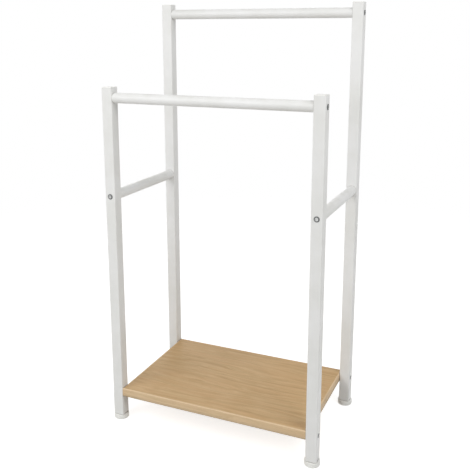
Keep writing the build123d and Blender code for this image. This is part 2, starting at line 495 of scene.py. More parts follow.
class WoodFigure(Effect):
    """Oak: long streaks, growth rings with a darker late edge, and short open pores."""

    title = "Oak figure"
    inputs = {
        "Place": (0.0, 0.0, 0.0),
        "Streak length": 110 * MM,
        "Streak width": 4 * MM,
        "Ring width": 19 * MM,
        "Pore length": 7 * MM,
        "Pore width": 0.35 * MM,
    }
    sway_size: ClassVar[Range] = (260 * MM, 60 * MM)
    sway_reach: ClassVar[Place] = (0.0, 50 * MM, 50 * MM)
    warm_size: ClassVar[Range] = (180 * MM, 9 * MM)
    warm_range: ClassVar[Range] = (0.35, 0.65)
    ring_length: ClassVar[float] = 400 * MM
    wobble_scale: ClassVar[float] = 0.7
    wobble_reach: ClassVar[float] = 2.2
    late_range: ClassVar[Range] = (0.55, 0.97)
    early_range: ClassVar[Range] = (0.0, 0.06)
    late_share: ClassVar[float] = 0.12
    pore_range: ClassVar[Range] = (0.64, 0.74)
    late_pores: ClassVar[float] = 0.35
    tone_range: ClassVar[Range] = (0.22, 0.72)

    def stretched(self, place: Any, length: Any, width: Any) -> Wire:
        """Place measured in lengths along the grain and widths across it."""
        along, across = (self.math("DIVIDE", 1.0, reach) for reach in (length, width))
        return self.vector("MULTIPLY", place, self.point(along, across, across))

    def connect(self) -> Wires:
        """Bends the grain a little and lays streaks, rings and pores along its X.

        Returns:
            The tone, the warmth and the pores.
        """
        given = self.given
        slow = {"Vector": self.stretched(given["Place"], *self.sway_size), "Scale": 1.0, "Detail": 2.0}
        sway = self.vector("SUBTRACT", self.get("ShaderNodeTexNoise", slow, 1), (0.5, 0.5, 0.5))
        bent = self.vector("ADD", given["Place"], self.vector("MULTIPLY", sway, self.sway_reach))
        streak_place = self.stretched(bent, given["Streak length"], given["Streak width"])
        streaks = self.noise(streak_place, 1.0, detail=4.0, roughness=0.62)
        ring_place = self.stretched(bent, self.ring_length, given["Ring width"])
        wobble = self.noise(ring_place, self.wobble_scale, detail=3.0)
        ring = self.math("FRACT", self.part(ring_place, "Y") + wobble * self.wobble_reach)
        early = self.between(ring, *self.early_range, 1.0, 0.0)
        late = self.between(ring, *self.late_range) * (1.0 - early)
        pore_place = self.stretched(bent, given["Pore length"], given["Pore width"])
        pores = self.between(self.noise(pore_place, 1.0, detail=1.0), *self.pore_range)
        warmth = self.noise(self.stretched(bent, *self.warm_size), 1.0)
        return {
            "Tone": self.between(streaks - late * self.late_share, *self.tone_range),
            "Warmth": self.between(warmth, *self.warm_range),
            "Pores": pores * self.spread(ring, 1.0, self.late_pores),
        }


class LatheLines(Effect):
    """Fine rings left by turning and plating, about the axis of each small part."""

    title = "Lathe lines"
    inputs = {"Pitch": 0.12 * MM, "Patch size": 2.5 * MM}

    def connect(self) -> Wires:
        """Works in the part's own place, which its mesh keeps in an attribute.

        Returns:
            The lines, the patches of plating and the distance from the axis.
        """
        own = self.get("ShaderNodeAttribute", out="Vector", attribute_name=TURNED_PLACE)
        flat = self.vector("MULTIPLY", own, (1.0, 1.0, 0.0))
        radius = self.vector("LENGTH", flat, out="Value")
        ring = self.point(radius, self.part(own, "Z"))
        lines = self.noise(ring, 1.0 / self.given["Pitch"], roughness=0.6)
        patches = self.noise(own, 1.0 / self.given["Patch size"], detail=3.0, roughness=0.6)
        return {"Lines": lines, "Patches": patches, "Radius": radius}


# ------------------------------------------------------------------------------- finishes
@dataclass(frozen=True)
class Finish:
    """What one kind of surface looks like."""

    title: str

    def material(self) -> bpy.types.Material:
        """The finish's material, built the first time that it is asked for.

        Returns:
            The material.
        """
        found = bpy.data.materials.get(self.title)
        if found:
            return found
        material = bpy.data.materials.new(self.title)
        graph = Graph.emptied(material)
        surface = graph.get("ShaderNodeBsdfPrincipled", self.dress(graph))
        graph.add("ShaderNodeOutputMaterial", {"Surface": surface})
        return material

    def dress(self, graph: Graph) -> Inputs:
        """Adds the nodes of the finish.

        Args:
            graph: the material's graph.

        Returns:
            What the surface is fed with, by input.
        """
        raise NotImplementedError


@dataclass(frozen=True)
class PowderCoat(Finish):
    """White polyester powder on steel: an even satin skin with a fine peel."""

    title: str = "White powder coat"
    colour: Colour = shade(241, 241, 240)
    thin_colour: Colour = shade(234, 234, 231)
    # Painted highlight on the rounded edges, broken up by the wear mask.
    edge_colour: Colour = shade(252, 252, 250)
    edge_cover: float = 0.8
    dust_colour: Colour = shade(206, 203, 196)
    dust_roughness: float = 0.5
    # Painted shade where parts meet and in narrow gaps.
    grime_colour: Colour = shade(150, 147, 140)
    grime_cover: float = 0.6
    roughness: Range = (0.43, 0.35)
    shine: float = 0.3
    peel_depth: float = 0.03 * MM

    def dress(self, graph: Graph) -> Inputs:
        """Lets the tone drift slowly, paints a highlight on the edges, dulls the top faces with dust and
        paints shade where parts meet.

        Args:
            graph: the material's graph.

        Returns:
            What the surface is fed with, by input.
        """
        crevice_shade = Crevice().place(graph, Reach=3 * MM)["Mask"]
        peel = OrangePeel().place(graph, Dimple_size=1.4 * MM, Drift_size=90 * MM)
        wear = EdgeWear().place(graph, Radius=0.9 * MM, Breakup_size=9 * MM, Breakup=0.4)["Mask"]
        dust = SettledDust().place(graph, Amount=0.3, Cloud_size=24 * MM)["Mask"]
        colour = graph.layers(
            graph.blend(peel["Tone"], self.thin_colour, self.colour),
            # painted highlight on the edges
            (wear, self.edge_cover, self.edge_colour),
            (dust, 1.0, self.dust_colour),
            # painted shade where parts meet
            (crevice_shade, self.grime_cover, self.grime_colour),
        )
        return {
            "Base Color": colour,
            "Roughness": graph.spread(peel["Tone"], *self.roughness) + dust * self.dust_roughness,
            "Specular IOR Level": self.shine,
            "Normal": graph.relief(peel["Height"], self.peel_depth),
        }


@dataclass(frozen=True)
class MouldedPlastic(Finish):
    """White moulded plastic with a spark-eroded skin, scuffed where it is lowest."""

    title: str = "White moulded plastic"
    colour: Colour = shade(250, 250, 247)
    low_colour: Colour = shade(244, 244, 240)
    scuff_colour: Colour = shade(212, 210, 204)
    scuff_cover: Range = (0.15, 0.6)
    scuff_height: float = 2 * MM
    scratch_scale: float = 900.0
    scratch_range: Range = (0.5, 0.66)
    wear_cover: float = 0.35
    # Painted shade where parts meet, such as the gap between foot and post.
    grime_colour: Colour = shade(118, 115, 108)
    grime_cover: float = 0.6
    roughness: Range = (0.46, 0.71)
    grain_size: float = 0.35 * MM
    grain_depth: float = 0.012 * MM

    def dress(self, graph: Graph) -> Inputs:
        """Lets flow marks drift through the tone, scuffs the lowest few millimetres and paints shade where
        parts meet.

        Args:
            graph: the material's graph.

        Returns:
            What the surface is fed with, by input.
        """
        grain = OrangePeel().place(graph, Dimple_size=self.grain_size, Drift_size=14 * MM)
        wear = EdgeWear().place(graph, Radius=0.7 * MM, Breakup_size=4 * MM, Breakup=0.7)["Mask"]
        dust = SettledDust().place(graph, Amount=0.15, Cloud_size=12 * MM)["Mask"]
        crevice_shade = Crevice().place(graph, Reach=1.6 * MM)["Mask"]
        here = graph.here()
        low = graph.between(graph.part(here, "Z"), 0.0, self.scuff_height, 1.0, 0.0)
        scratches = graph.noise(here, self.scratch_scale, detail=4.0, roughness=0.7)
        scuffs = low * graph.spread(graph.between(scratches, *self.scratch_range), *self.scuff_cover)
        colour = graph.layers(
            graph.blend(grain["Tone"], self.low_colour, self.colour),
            (wear, self.wear_cover, self.scuff_colour),
            (graph.math("MAXIMUM", scuffs, dust), 1.0, self.scuff_colour),
            # painted shade where parts meet
            (crevice_shade, self.grime_cover, self.grime_colour),
        )
        return {
            "Base Color": colour,
            "Roughness": graph.spread(scuffs, *self.roughness),
            "Normal": graph.relief(grain["Height"], self.grain_depth),
        }


@dataclass(frozen=True)
class TurnedMetal(Finish):
    """Plated steel, turned: bright where it is flat, with painted shade as a darker band about the axis."""

    title: str = "Nickel plate"
    colour: Colour = shade(196, 197, 196)
    # Painted shade and dark reflection: the dark band on the head's flank, outside the crown.
    dark_colour: Colour = shade(84, 86, 86)
    dark_range: Range = (2.7 * MM, 3.6 * MM)
    dark_cover: Range = (0.8, 1.1)
    # How much worn edges take off the painted shade band.
    worn_cover: float = 0.3
    roughness: Range = (0.21, 0.39)
    line_depth: float = 0.004 * MM

    def dress(self, graph: Graph) -> Inputs:
        """Paints shade as a dark band outside the crown, eased where edges are worn, and keeps lathe lines
        on every face.

        Args:
            graph: the material's graph.

        Returns:
            What the surface is fed with, by input.
        """
        lathe = LatheLines().place(graph, Pitch=0.12 * MM, Patch_size=2.2 * MM)
        wear = EdgeWear().place(graph, Radius=0.3 * MM, Breakup_size=1.5 * MM, Breakup=0.5)["Mask"]
        # Painted shade: a dark band outside the crown, eased where edges are worn.
        outside = graph.between(lathe["Radius"], *self.dark_range)
        dark = outside * graph.spread(lathe["Patches"], *self.dark_cover) - wear * self.worn_cover
        return {
            "Base Color": graph.blend(dark, self.colour, self.dark_colour),
            "Metallic": 1.0,
            "Roughness": graph.spread(lathe["Patches"], *self.roughness),
            "Normal": graph.relief(lathe["Lines"], self.line_depth),
        }


@dataclass(frozen=True)
class Oak(Finish):
    """Light oak decor: soft streaks, warm and cool bands, and short printed pores."""

    title: str = "Light oak skin"
    light_colour: Colour = shade(210, 178, 131)
    dark_colour: Colour = shade(188, 153, 107)
    warm_colour: Colour = shade(208, 169, 122)
    warm_cover: float = 0.45
    pore_colour: Colour = shade(152, 120, 82)
    pore_cover: float = 0.55
    # Upper edges: partly sanded wear, partly a painted highlight; the same colour tints the dust.
    trim_colour: Colour = shade(236, 210, 174)
    trim_cover: float = 0.5
    # Painted shade: greys the lower half of a band, most at its bottom.
    worn_colour: Colour = shade(160, 146, 124)
    worn_cover: float = 0.0
    worn_node: str = "shelf_front_band"
    grime_colour: Colour = shade(112, 92, 70)
    grime_cover: float = 0.6
    # Painted shade on edges that look down.
    lower_edge_cover: float = 0.8
    turn: float = 0.0
    roughness: Range = (0.56, 0.44)
    shine: float = 0.2
    pore_depth: float = 0.05 * MM
    streak_relief: float = 0.25

    def dress(self, graph: Graph) -> Inputs:
        """Turns the grain from X, tints the upper edges with sanding and painted light, and paints shade on
        the lower half, the lower edges and where parts meet.

        Args:
            graph: the material's graph.

        Returns:
            What the surface is fed with, by input.
        """
        here = graph.here()
        turned = graph.get("ShaderNodeMapping", {"Vector": here, "Rotation": (0.0, 0.0, self.turn)})
        figure = WoodFigure().place(graph, Place=turned)
        leaning_edges = SandedEdge().place(graph, Sharpness=0.7)
        crevice_shade = Crevice().place(graph, Reach=4 * MM)["Mask"]
        dust = SettledDust().place(graph, Amount=0.06, Cloud_size=50 * MM)["Mask"]
        # Painted shade: greyer from halfway down the band to its bottom.
        bottom, top = (corner[2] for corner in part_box(self.worn_node))
        low_shade = graph.between(graph.part(here, "Z"), bottom, (bottom + top) / 2, self.worn_cover, 0.0)
        colour = graph.layers(
            graph.blend(figure["Tone"], self.dark_colour, self.light_colour),
            (figure["Warmth"], self.warm_cover, self.warm_colour),
            (figure["Pores"], self.pore_cover, self.pore_colour),
            # partly sanded wear, partly painted light
            (leaning_edges["Upper"], self.trim_cover, self.trim_colour),
            (low_shade, 1.0, self.worn_colour),
            # painted shade on the lower edges
            (leaning_edges["Lower"], self.lower_edge_cover, self.grime_colour),
            (dust, 1.0, self.trim_colour),
            # painted shade where parts meet
            (crevice_shade, self.grime_cover, self.grime_colour),
        )
        height = figure["Tone"] * self.streak_relief - figure["Pores"]
        return {
            "Base Color": colour,
            "Roughness": graph.spread(figure["Tone"], *self.roughness),
            "Specular IOR Level": self.shine,
            "Normal": graph.relief(height, self.pore_depth),
        }


@dataclass(frozen=True)
class OakBand(Oak):
    """The lipping's oak: paler than the skins, and greyed towards the floor by painted shade."""

    light_colour: Colour = shade(230, 203, 165)
    dark_colour: Colour = shade(210, 182, 142)
    warm_colour: Colour = shade(226, 194, 157)
    # Upper edges: partly sanded wear, partly a painted highlight.
    trim_cover: float = 0.7
    # Painted shade towards the bottom of the band.
    worn_cover: float = 0.4


@dataclass(frozen=True)
class Particleboard(Finish):
    """Pressed chips of mixed tone, with dark glue between them."""

    title: str = "Particleboard"
    light_colour: Colour = shade(206, 176, 136)
    dark_colour: Colour = shade(150, 116, 78)
    glue_colour: Colour = shade(96, 72, 48)
    chip_length: float = 5 * MM
    chip_width: float = 1.6 * MM
    chip_depth: float = 0.15 * MM
    seam_range: Range = (0.45, 0.75)
    roughness: Range = (0.75, 0.95)

    def dress(self, graph: Graph) -> Inputs:
        """Makes each cell one chip with its own tone, and fills the seams with glue.

        Args:
            graph: the material's graph.

        Returns:
            What the surface is fed with, by input.
        """
        scale = (1 / self.chip_length, 1 / self.chip_width, 1 / self.chip_width)
        inputs = {"Vector": graph.vector("MULTIPLY", graph.here(), scale), "Scale": 1.0}
        chips = graph.outs(graph.add("ShaderNodeTexVoronoi", inputs))
        tone = graph.get("ShaderNodeSeparateColor", {0: chips["Color"]})
        seams = graph.between(chips["Distance"], *self.seam_range)
        colour = graph.blend(tone, self.dark_colour, self.light_colour)
        return {
            "Base Color": graph.blend(seams, colour, self.glue_colour),
            "Roughness": graph.spread(tone, *self.roughness),
            "Normal": graph.relief(1.0 - seams, self.chip_depth),
        }


# ------------------------------------------------------------------------------- meshes
def stack(profile: Profile, count: int = ROUND_STEPS) -> list[Ring]:
    """Level rings of points about the Z axis.

    Args:
        profile: radius and height of each ring; a radius may be a function of the angle.
        count: how many points a ring has.

    Returns:
        The rings, each anticlockwise.
    """
    angles = [WHOLE_TURN * step / count for step in range(count)]
    rings = []
    for radius, height in profile:
        reach = [radius(angle) if callable(radius) else radius for angle in angles]
        rings.append([Vector((r * math.cos(a), r * math.sin(a), height)) for r, a in zip(reach, angles)])
    return rings


def polygon_radius(sides: int, half_width: float) -> Radius:
    """Radius of a regular polygon at an angle; half_width is from the axis to a flat."""
    step = WHOLE_TURN / sides
    return lambda angle: half_width / math.cos((angle + step / 2) % step - step / 2)


def cross_radius(half_length: float, half_width: float) -> Radius:
    """Radius of a cross-shaped recess at an angle.

    Args:
        half_length: from the axis to the end of an arm.
        half_width: from an arm's middle line to its flank.

    Returns:
        The function of the angle.
    """

    def radius(angle: float) -> float:
        """The arm's end or its flank, whichever is nearer."""
        lean = abs((angle + math.pi / 4) % (math.pi / 2) - math.pi / 4)
        return min(half_length / math.cos(lean), half_width / max(math.sin(lean), TINY))

    return radius


def quarter(centre: Range, radii: Range, start: float, steps: int = 8) -> Profile:
    """A quarter turn of an ellipse as (radius, height) pairs.

    Args:
        centre: middle of the ellipse.
        radii: its half sizes across and up.
        start: the first angle in degrees, from the outward direction.
        steps: how many pieces the quarter has.

    Returns:
        The pairs, first to last.
    """
    angles = [math.radians(start + 90 * step / steps) for step in range(steps + 1)]
    return [(centre[0] + radii[0] * math.cos(a), centre[1] + radii[1] * math.sin(a)) for a in angles]


def square_ring(half: float, corner: float, height: float) -> Ring:
    """A level square with rounded corners.

    Args:
        half: half the side.
        corner: radius of the corners.
        height: Z of the ring.

    Returns:
        The points, anticlockwise.
    """
    points = []
    for turn in range(4):
        centre = Matrix.Rotation(turn * math.pi / 2, 2) @ Vector((half - corner, half - corner))
        arc = quarter(tuple(centre), (corner, corner), start=turn * 90)
        points += [Vector((x, y, height)) for x, y in arc]
    return points


def skin(rings: Sequence[Ring], ends: Ends = Ends.CAPPED) -> bpy.types.Mesh:
    """Skins a stack of rings that have equally many points.

    Args:
        rings: the rings, in order.
        ends: what happens to the first and the last.

    Returns:
        A closed mesh with its faces outwards.
    """
    build = bmesh.new()
    rows = [[build.verts.new(point) for point in ring] for ring in rings]
    pairs = list(zip(rows, rows[1:]))
    if ends is Ends.JOINED:
        pairs.append((rows[-1], rows[0]))
    else:
        build.faces.new(rows[0])
        build.faces.new(rows[-1])
    for low, high in pairs:
        for here in range(len(low)):
            after = (here + 1) % len(low)
            build.faces.new((low[here], low[after], high[after], high[here]))
    bmesh.ops.recalc_face_normals(build, faces=build.faces)
    return Bench.poured(build, "skin")


def joined(*meshes: bpy.types.Mesh) -> bpy.types.Mesh:
    """Puts the shells of several meshes in one.

    Args:
        meshes: the meshes.

    Returns:
        The one mesh.
    """
    build = bmesh.new()
    for mesh in meshes:
        build.from_mesh(mesh)
    return Bench.poured(build, "joined")


class Bench:
    """Where meshes are worked on: holds objects in the scene for a moment and takes them out."""

    @staticmethod
    def poured(build: bmesh.types.BMesh, name: str) -> bpy.types.Mesh:
        """Turns what was built into a mesh.

        Args:
            build: the shape, which is used up.
            name: the mesh's name.

        Returns:
            The mesh.
        """
        mesh = bpy.data.meshes.new(name)
        build.to_mesh(mesh)
        build.free()
        return mesh

    @staticmethod
    def hold(mesh: bpy.types.Mesh) -> bpy.types.Object:
        """Puts a mesh in the scene so that modifiers can work on it or read it."""
        return placed("held", mesh)

    @staticmethod
    def release(held: bpy.types.Object, *tools: bpy.types.Object) -> bpy.types.Mesh:
        """Applies an object's modifiers and takes it out of the scene with its tools.

        Args:
            held: an object from hold().
            tools: objects from hold() that its modifiers read.

        Returns:
            Its evaluated mesh.
        """
        bpy.context.view_layer.update()
        view = bpy.context.evaluated_depsgraph_get()
        done = bpy.data.meshes.new_from_object(
            held.evaluated_get(view), preserve_all_data_layers=True, depsgraph=view
        )
        for used in (held, *tools):
            bpy.data.objects.remove(used)
        return done

    @classmethod
    def smoothed(cls, mesh: bpy.types.Mesh) -> bpy.types.Mesh:
        """Shades a mesh smooth up to the crease angle, with flat faces kept flat.

        Args:
            mesh: the mesh.

        Returns:
            The shaded mesh.
        """
        mesh.polygons.foreach_set("use_smooth", [True] * len(mesh.polygons))
        mesh.set_sharp_from_angle(angle=math.radians(CREASE_ANGLE))
        held = cls.hold(mesh)
        weighted = held.modifiers.new("weighted", "WEIGHTED_NORMAL")
        weighted.keep_sharp = True
        return cls.release(held)

    @classmethod
    def drilled(cls, mesh: bpy.types.Mesh, drills: Sequence[bpy.types.Mesh]) -> bpy.types.Mesh:
        """Cuts solid drills out of a mesh.

        Args:
            mesh: the mesh.
            drills: closed meshes, in their places.

        Returns:
            What is left.
        """
        held = cls.hold(mesh)
        bits = [cls.hold(drill) for drill in drills]
        for bit in bits:
            cut = held.modifiers.new("cut", "BOOLEAN")
            cut.operation = "DIFFERENCE"
            cut.solver = "EXACT"
            cut.object = bit
        return cls.release(held, *bits)


@dataclass(frozen=True)
class Seat:
    """A place for a small part: the point that it sits on and the way it faces."""

    place: Vector
    outward: Vector

    @classmethod
    def on_face(cls, node: str, carrier: str, outward: Vector) -> "Seat":
        """Seat on the outermost face of a node's box on one side.

        Args:
            node: the node whose middle the seat is in line with.
            carrier: the node whose box has the face.
            outward: the way that the face looks.

        Returns:
            The seat.
        """
        place = middle(node)
        low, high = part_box(carrier)
        for axis in range(3):
            if outward[axis]:
                place[axis] = (high if outward[axis] > 0 else low)[axis]
        return cls(place, outward)

    def matrix(self) -> Matrix:
        """Takes Z to the outward direction, and the origin to the seat."""
        turn = UP.rotation_difference(self.outward).to_matrix().to_4x4()
        return Matrix.Translation(self.place) @ turn


def seat_mesh(seats: Sequence[Seat]) -> bpy.types.Mesh:
    """Makes a mesh with one point for each seat, which keeps the seat's direction.

    Args:
        seats: the seats, or none.

    Returns:
        The mesh.
    """
    mesh = bpy.data.meshes.new("seats")
    mesh.from_pydata([seat.place for seat in seats], [], [])
    axes = mesh.attributes.new(SEAT_AXIS, "FLOAT_VECTOR", "POINT")
    for point, seat in zip(axes.data, seats):
        point.vector = seat.outward
    return mesh


def publish(mesh: bpy.types.Mesh, name: str, slot: Slot, finish: Finish, nodes: Sequence[str]) -> None:
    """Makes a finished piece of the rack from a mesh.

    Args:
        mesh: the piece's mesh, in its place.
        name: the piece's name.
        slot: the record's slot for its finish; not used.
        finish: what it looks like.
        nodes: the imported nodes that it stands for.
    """
    mesh = Bench.smoothed(mesh)
    mesh.name = name
    mesh.materials.clear()
    mesh.materials.append(finish.material())
    piece = placed(name, mesh)
    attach(piece, BODY)
    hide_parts(*nodes)
    log.info("%s: %d faces, stands for %s", name, len(mesh.polygons), ", ".join(nodes))


def redress(node: str, finish: Finish) -> None:
    """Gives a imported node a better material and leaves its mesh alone.

    Args:
        node: the node.
        finish: what it looks like.
    """
    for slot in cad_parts[node].material_slots:
        slot.material = finish.material()
    log.info("%s: keeps its mesh, dressed in %s", node, finish.title)


# ------------------------------------------------------------------------------- geometry trees
class Recipe(Group):
    """A Geometry Nodes tree with named inputs for its sizes."""

    kind = "GeometryNodeTree"
    result = Socket.SHAPE

    def make(self, finish: Finish, seats: Sequence[Seat] = (), **values: Any) -> bpy.types.Mesh:
        """Runs the tree.

        Args:
            finish: what the result looks like.
            seats: where the tree puts its parts, for a tree that asks for them.
            values: the other inputs, with underscores for the spaces in their names.

        Returns:
            The result as a plain mesh, with nothing left of the modifier.
        """
        held = Bench.hold(seat_mesh(seats))
        parts = {name: Bench.hold(mesh) for name, mesh in values.items() if isinstance(mesh, bpy.types.Mesh)}
        wanted = {**values, **parts, "Material": finish.material()}
        modifier = held.modifiers.new(self.title, "NODES")
        modifier.node_group = self.tree
        for item in self.tree.interface.items_tree:
            name = item.name.replace(" ", "_")
            if item.in_out == "INPUT" and name in wanted:
                modifier[item.identifier] = wanted[name]
        return Bench.release(held, *parts.values())

    def model(self, name: str) -> Wire:
        """Geometry of the object that an input names."""
        return self.get("GeometryNodeObjectInfo", {"Object": self.given[name]}, "Geometry")

    def about_axis(self, angle: Any) -> Wire:
        """A turn about Z."""
        return self.get("FunctionNodeAxisAngleToRotation", {"Axis": tuple(UP), "Angle": angle})

    def repeated(self, name: str, points: Wire, **turn: Wire) -> Wire:
        """A real copy of the object that an input names on each point, and its Rotation if given."""
        inputs = {"Points": points, "Instance": self.model(name), **turn}
        return self.real(self.get("GeometryNodeInstanceOnPoints", inputs))

    def real(self, geometry: Wire) -> Wire:
        """Turns instances into real geometry."""
        return self.get("GeometryNodeRealizeInstances", {"Geometry": geometry})

    def together(self, *pieces: Wire) -> Wire:
        """Joins pieces of geometry.

        Args:
            pieces: the pieces.

        Returns:
            The whole.
        """
        whole = self.add("GeometryNodeJoinGeometry")
        for piece in pieces:
            self.feed(whole.inputs[0], piece)
        return Wire(self, whole.outputs[0])

    def dressed(self, geometry: Wire) -> Wires:
        """Ends the tree with real geometry that has its material."""
        inputs = {"Geometry": self.real(geometry), "Material": self.given["Material"]}
        return {"Geometry": self.get("GeometryNodeSetMaterial", inputs)}

    def seated(self, part: Wire) -> Wires:
        """Ends the tree with a part on every seat, its own place kept and a turn of its own.

        Args:
            part: the part's geometry, with Z outwards and the origin on the seat.

        Returns:
            All the parts, dressed.
        """
        given = self.given
        inputs = {"Geometry": part, "Name": TURNED_PLACE, "Value": self.get("GeometryNodeInputPosition")}
        marked = self.get("GeometryNodeStoreNamedAttribute", inputs, data_type="FLOAT_VECTOR")
        axis = self.get("GeometryNodeInputNamedAttribute", {"Name": SEAT_AXIS}, data_type="FLOAT_VECTOR")
        facing = self.get("FunctionNodeAlignRotationToVector", {"Vector": axis}, axis="Z")
        # The random node has sockets for each type of data: 2, 3 and 1 are those for numbers.
        angle = self.get("FunctionNodeRandomValue", {2: 0.0, 3: given["Spin"], "Seed": given["Seed"]}, 1)
        inputs = {"Rotation": facing, "Rotate By": self.about_axis(angle)}
        turned = self.get("FunctionNodeRotateRotation", inputs, rotation_space="LOCAL")
        inputs = {"Points": given["Geometry"], "Instance": marked, "Rotation": turned}
        return self.dressed(self.get("GeometryNodeInstanceOnPoints", inputs))


SEATED_INPUTS = {
    "Geometry": Socket.SHAPE,
    "Spin": 0.0,
    "Seed": 7,
    "Material": Socket.FINISH,
}


class TubeRun(Recipe):
    """A straight tube: the section of its wall follows the outline of the tube once round."""

    title = "Tube run"
    inputs = {
        "Geometry": Socket.SHAPE,
        "Side": 22 * MM,
        "Corner Radius": 1.8 * MM,
        "Corner Steps": 10,
        "Wall": 1.2 * MM,
        "Length": 0.5,
        "End Round": 0.2 * MM,
        "End Steps": 3,
        "Material": Socket.FINISH,
    }

    def rounded(self, width: Wire, height: Wire, radius: Wire, steps: Wire) -> Wire:
        """Draws a rectangle in the XY plane with rounded corners.

        Args:
            width: its size along X.
            height: its size along Y.
            radius: of its corners.
            steps: how many pieces each corner has.

        Returns:
            The curve.
        """
        plain = self.get("GeometryNodeCurvePrimitiveQuadrilateral", {"Width": width, "Height": height})
        inputs = {"Curve": plain, "Count": steps, "Radius": radius}
        return self.get("GeometryNodeFilletCurve", inputs, mode="POLY")

    def connect(self) -> Wires:
        """Lays the outline at the middle of the wall and stands the wall's section on it.

        Returns:
            The tube, with its lower end at the origin.
        """
        given = self.given
        side = given["Side"] - given["Wall"]
        corner = given["Corner Radius"] - given["Wall"] * 0.5
        outline = self.rounded(side, side, corner, given["Corner Steps"])
        outline = self.get("GeometryNodeSetCurveNormal", {"Curve": outline}, mode="Z_UP")
        section = self.rounded(given["Wall"], given["Length"], given["End Round"], given["End Steps"])
        tube = self.get("GeometryNodeCurveToMesh", {"Curve": outline, "Profile Curve": section})
        lift = {"Geometry": tube, "Translation": self.point(z=given["Length"] * 0.5)}
        return self.dressed(self.get("GeometryNodeTransform", lift))


class SeatedScrews(Recipe):
    """Screws on their seats: a modelled head and a threaded shank that is worked out here."""

    title = "Seated screws"
    inputs = SEATED_INPUTS | {
        "Head": Socket.PART,
        "Diameter": 6 * MM,
        "Length": 35 * MM,
        "Neck": 1.5 * MM,
        "Plain Length": 2 * MM,
        "Pitch": 1 * MM,
        "Thread Depth": 0.6 * MM,
        "Tip Length": 0.8 * MM,
        "Tip Share": 0.75,
        "Turn Steps": 20,
        "Rows": 200,
    }
    flank_range: ClassVar[Range] = (0.06, 0.44)

    def connect(self) -> Wires:
        """Sets each point of a rod below the head's neck in or out by where it lies on the helix.

        Returns:
            The screws.
        """
        given = self.given
        radius = given["Diameter"] * 0.5
        inputs = {
            "Vertices": given["Turn Steps"],
            "Side Segments": given["Rows"],
            "Radius": radius,
            "Depth": given["Length"] - given["Neck"],
        }
        rod = self.get("GeometryNodeMeshCylinder", inputs, fill_type="TRIANGLE_FAN")
        drop = self.point(z=(given["Length"] + given["Neck"]) * -0.5)
        rod = self.get("GeometryNodeTransform", {"Geometry": rod, "Translation": drop})
        place = self.get("GeometryNodeInputPosition")
        x, y, z = (self.part(place, axis) for axis in "XYZ")
        phase = z / given["Pitch"] - self.math("ARCTAN2", y, x) / WHOLE_TURN
        wave = self.math("ABSOLUTE", self.math("FRACT", phase) - 0.5)
        started = self.between(z * -1.0 - given["Plain Length"], 0.0, given["Pitch"])
        depth = self.between(wave, *self.flank_range) * started * given["Thread Depth"]
        taper = self.spread((z + given["Length"]) / given["Tip Length"], given["Tip Share"], 1.0)
        share = (1.0 - depth / radius) * taper
        moved = self.vector("MULTIPLY", place, self.point(share, share, 1.0))
        shank = self.get("GeometryNodeSetPosition", {"Geometry": rod, "Position": moved})
        return self.seated(self.together(shank, self.model("Head")))


class RidgedParts(Recipe):
    """Round parts on their seats, with ridges set evenly about the axis of each."""

    title = "Ridged parts"
    inputs = SEATED_INPUTS | {
        "Core": Socket.PART,
        "Ridge": Socket.PART,
        "Ridge Count": 36,
        "Ridge Radius": 8.8 * MM,
    }

    def connect(self) -> Wires:
        """Stands the ridges on the points of a circle, each turned with its point.

        Returns:
            The ridged parts.
        """
        count = self.given["Ridge Count"]
        inputs = {"Vertices": count, "Radius": self.given["Ridge Radius"]}
        circle = self.get("GeometryNodeMeshCircle", inputs)
        turn = self.about_axis(self.get("GeometryNodeInputIndex") * (WHOLE_TURN / count))
        ridges = self.repeated("Ridge", circle, Rotation=turn)
        return self.seated(self.together(ridges, self.model("Core")))


class RibbedPlugs(Recipe):
    """Moulded end pieces on their seats, with a row of ribs up the plug of each."""

    title = "Ribbed plugs"
    inputs = SEATED_INPUTS | {
        "Body": Socket.PART,
        "Rib": Socket.PART,
        "Rib Count": 3,
        "Rib Pitch": 3.4 * MM,
        "First Rib": 0.0,
    }

    def connect(self) -> Wires:
        """Stands a rib on each point of a short line up the axis.

        Returns:
            The ribbed end pieces.
        """
        inputs = {
            "Count": self.given["Rib Count"],
            "Start Location": self.point(z=self.given["First Rib"]),
            "Offset": self.point(z=self.given["Rib Pitch"]),
        }
        ribs = self.repeated("Rib", self.get("GeometryNodeMeshLine", inputs, mode="OFFSET"))
        return self.seated(self.together(ribs, self.model("Body")))


# ------------------------------------------------------------------------------- where things stand
@dataclass(frozen=True)
class Corner:
    """One corner of the rack: its row, front or back, and its flank, left or right."""

    row: Side
    flank: Side

    @property
    def name(self) -> str:
        """The corner's word in the nodes' names."""
        return f"{self.row.word}_{self.flank.word}"

    @property
    def post(self) -> str:
        """The post's node."""
        return f"{self.name}_post"

    def towel_rail_seat(self) -> Seat:
        """Where the towel rail's screw sits on the post."""
        node = f"{self.row.word}_towel_rail_{self.flank.word}_screw"
        return Seat.on_face(node, self.post, self.flank.outward)

    def side_rail_seat(self) -> Seat:
        """Where the side rail's screw sits on the post."""
        node = f"{self.flank.word}_side_rail_{self.row.word}_screw"
        return Seat.on_face(node, self.post, self.row.outward)

    def shelf_seat(self) -> Seat:
        """Where the shelf's screw sits on the post."""
        return Seat.on_face(f"{self.name}_shelf_screw", self.post, self.flank.outward)


CORNERS = [Corner(row, flank) for row in (Side.FRONT, Side.BACK) for flank in (Side.LEFT, Side.RIGHT)]


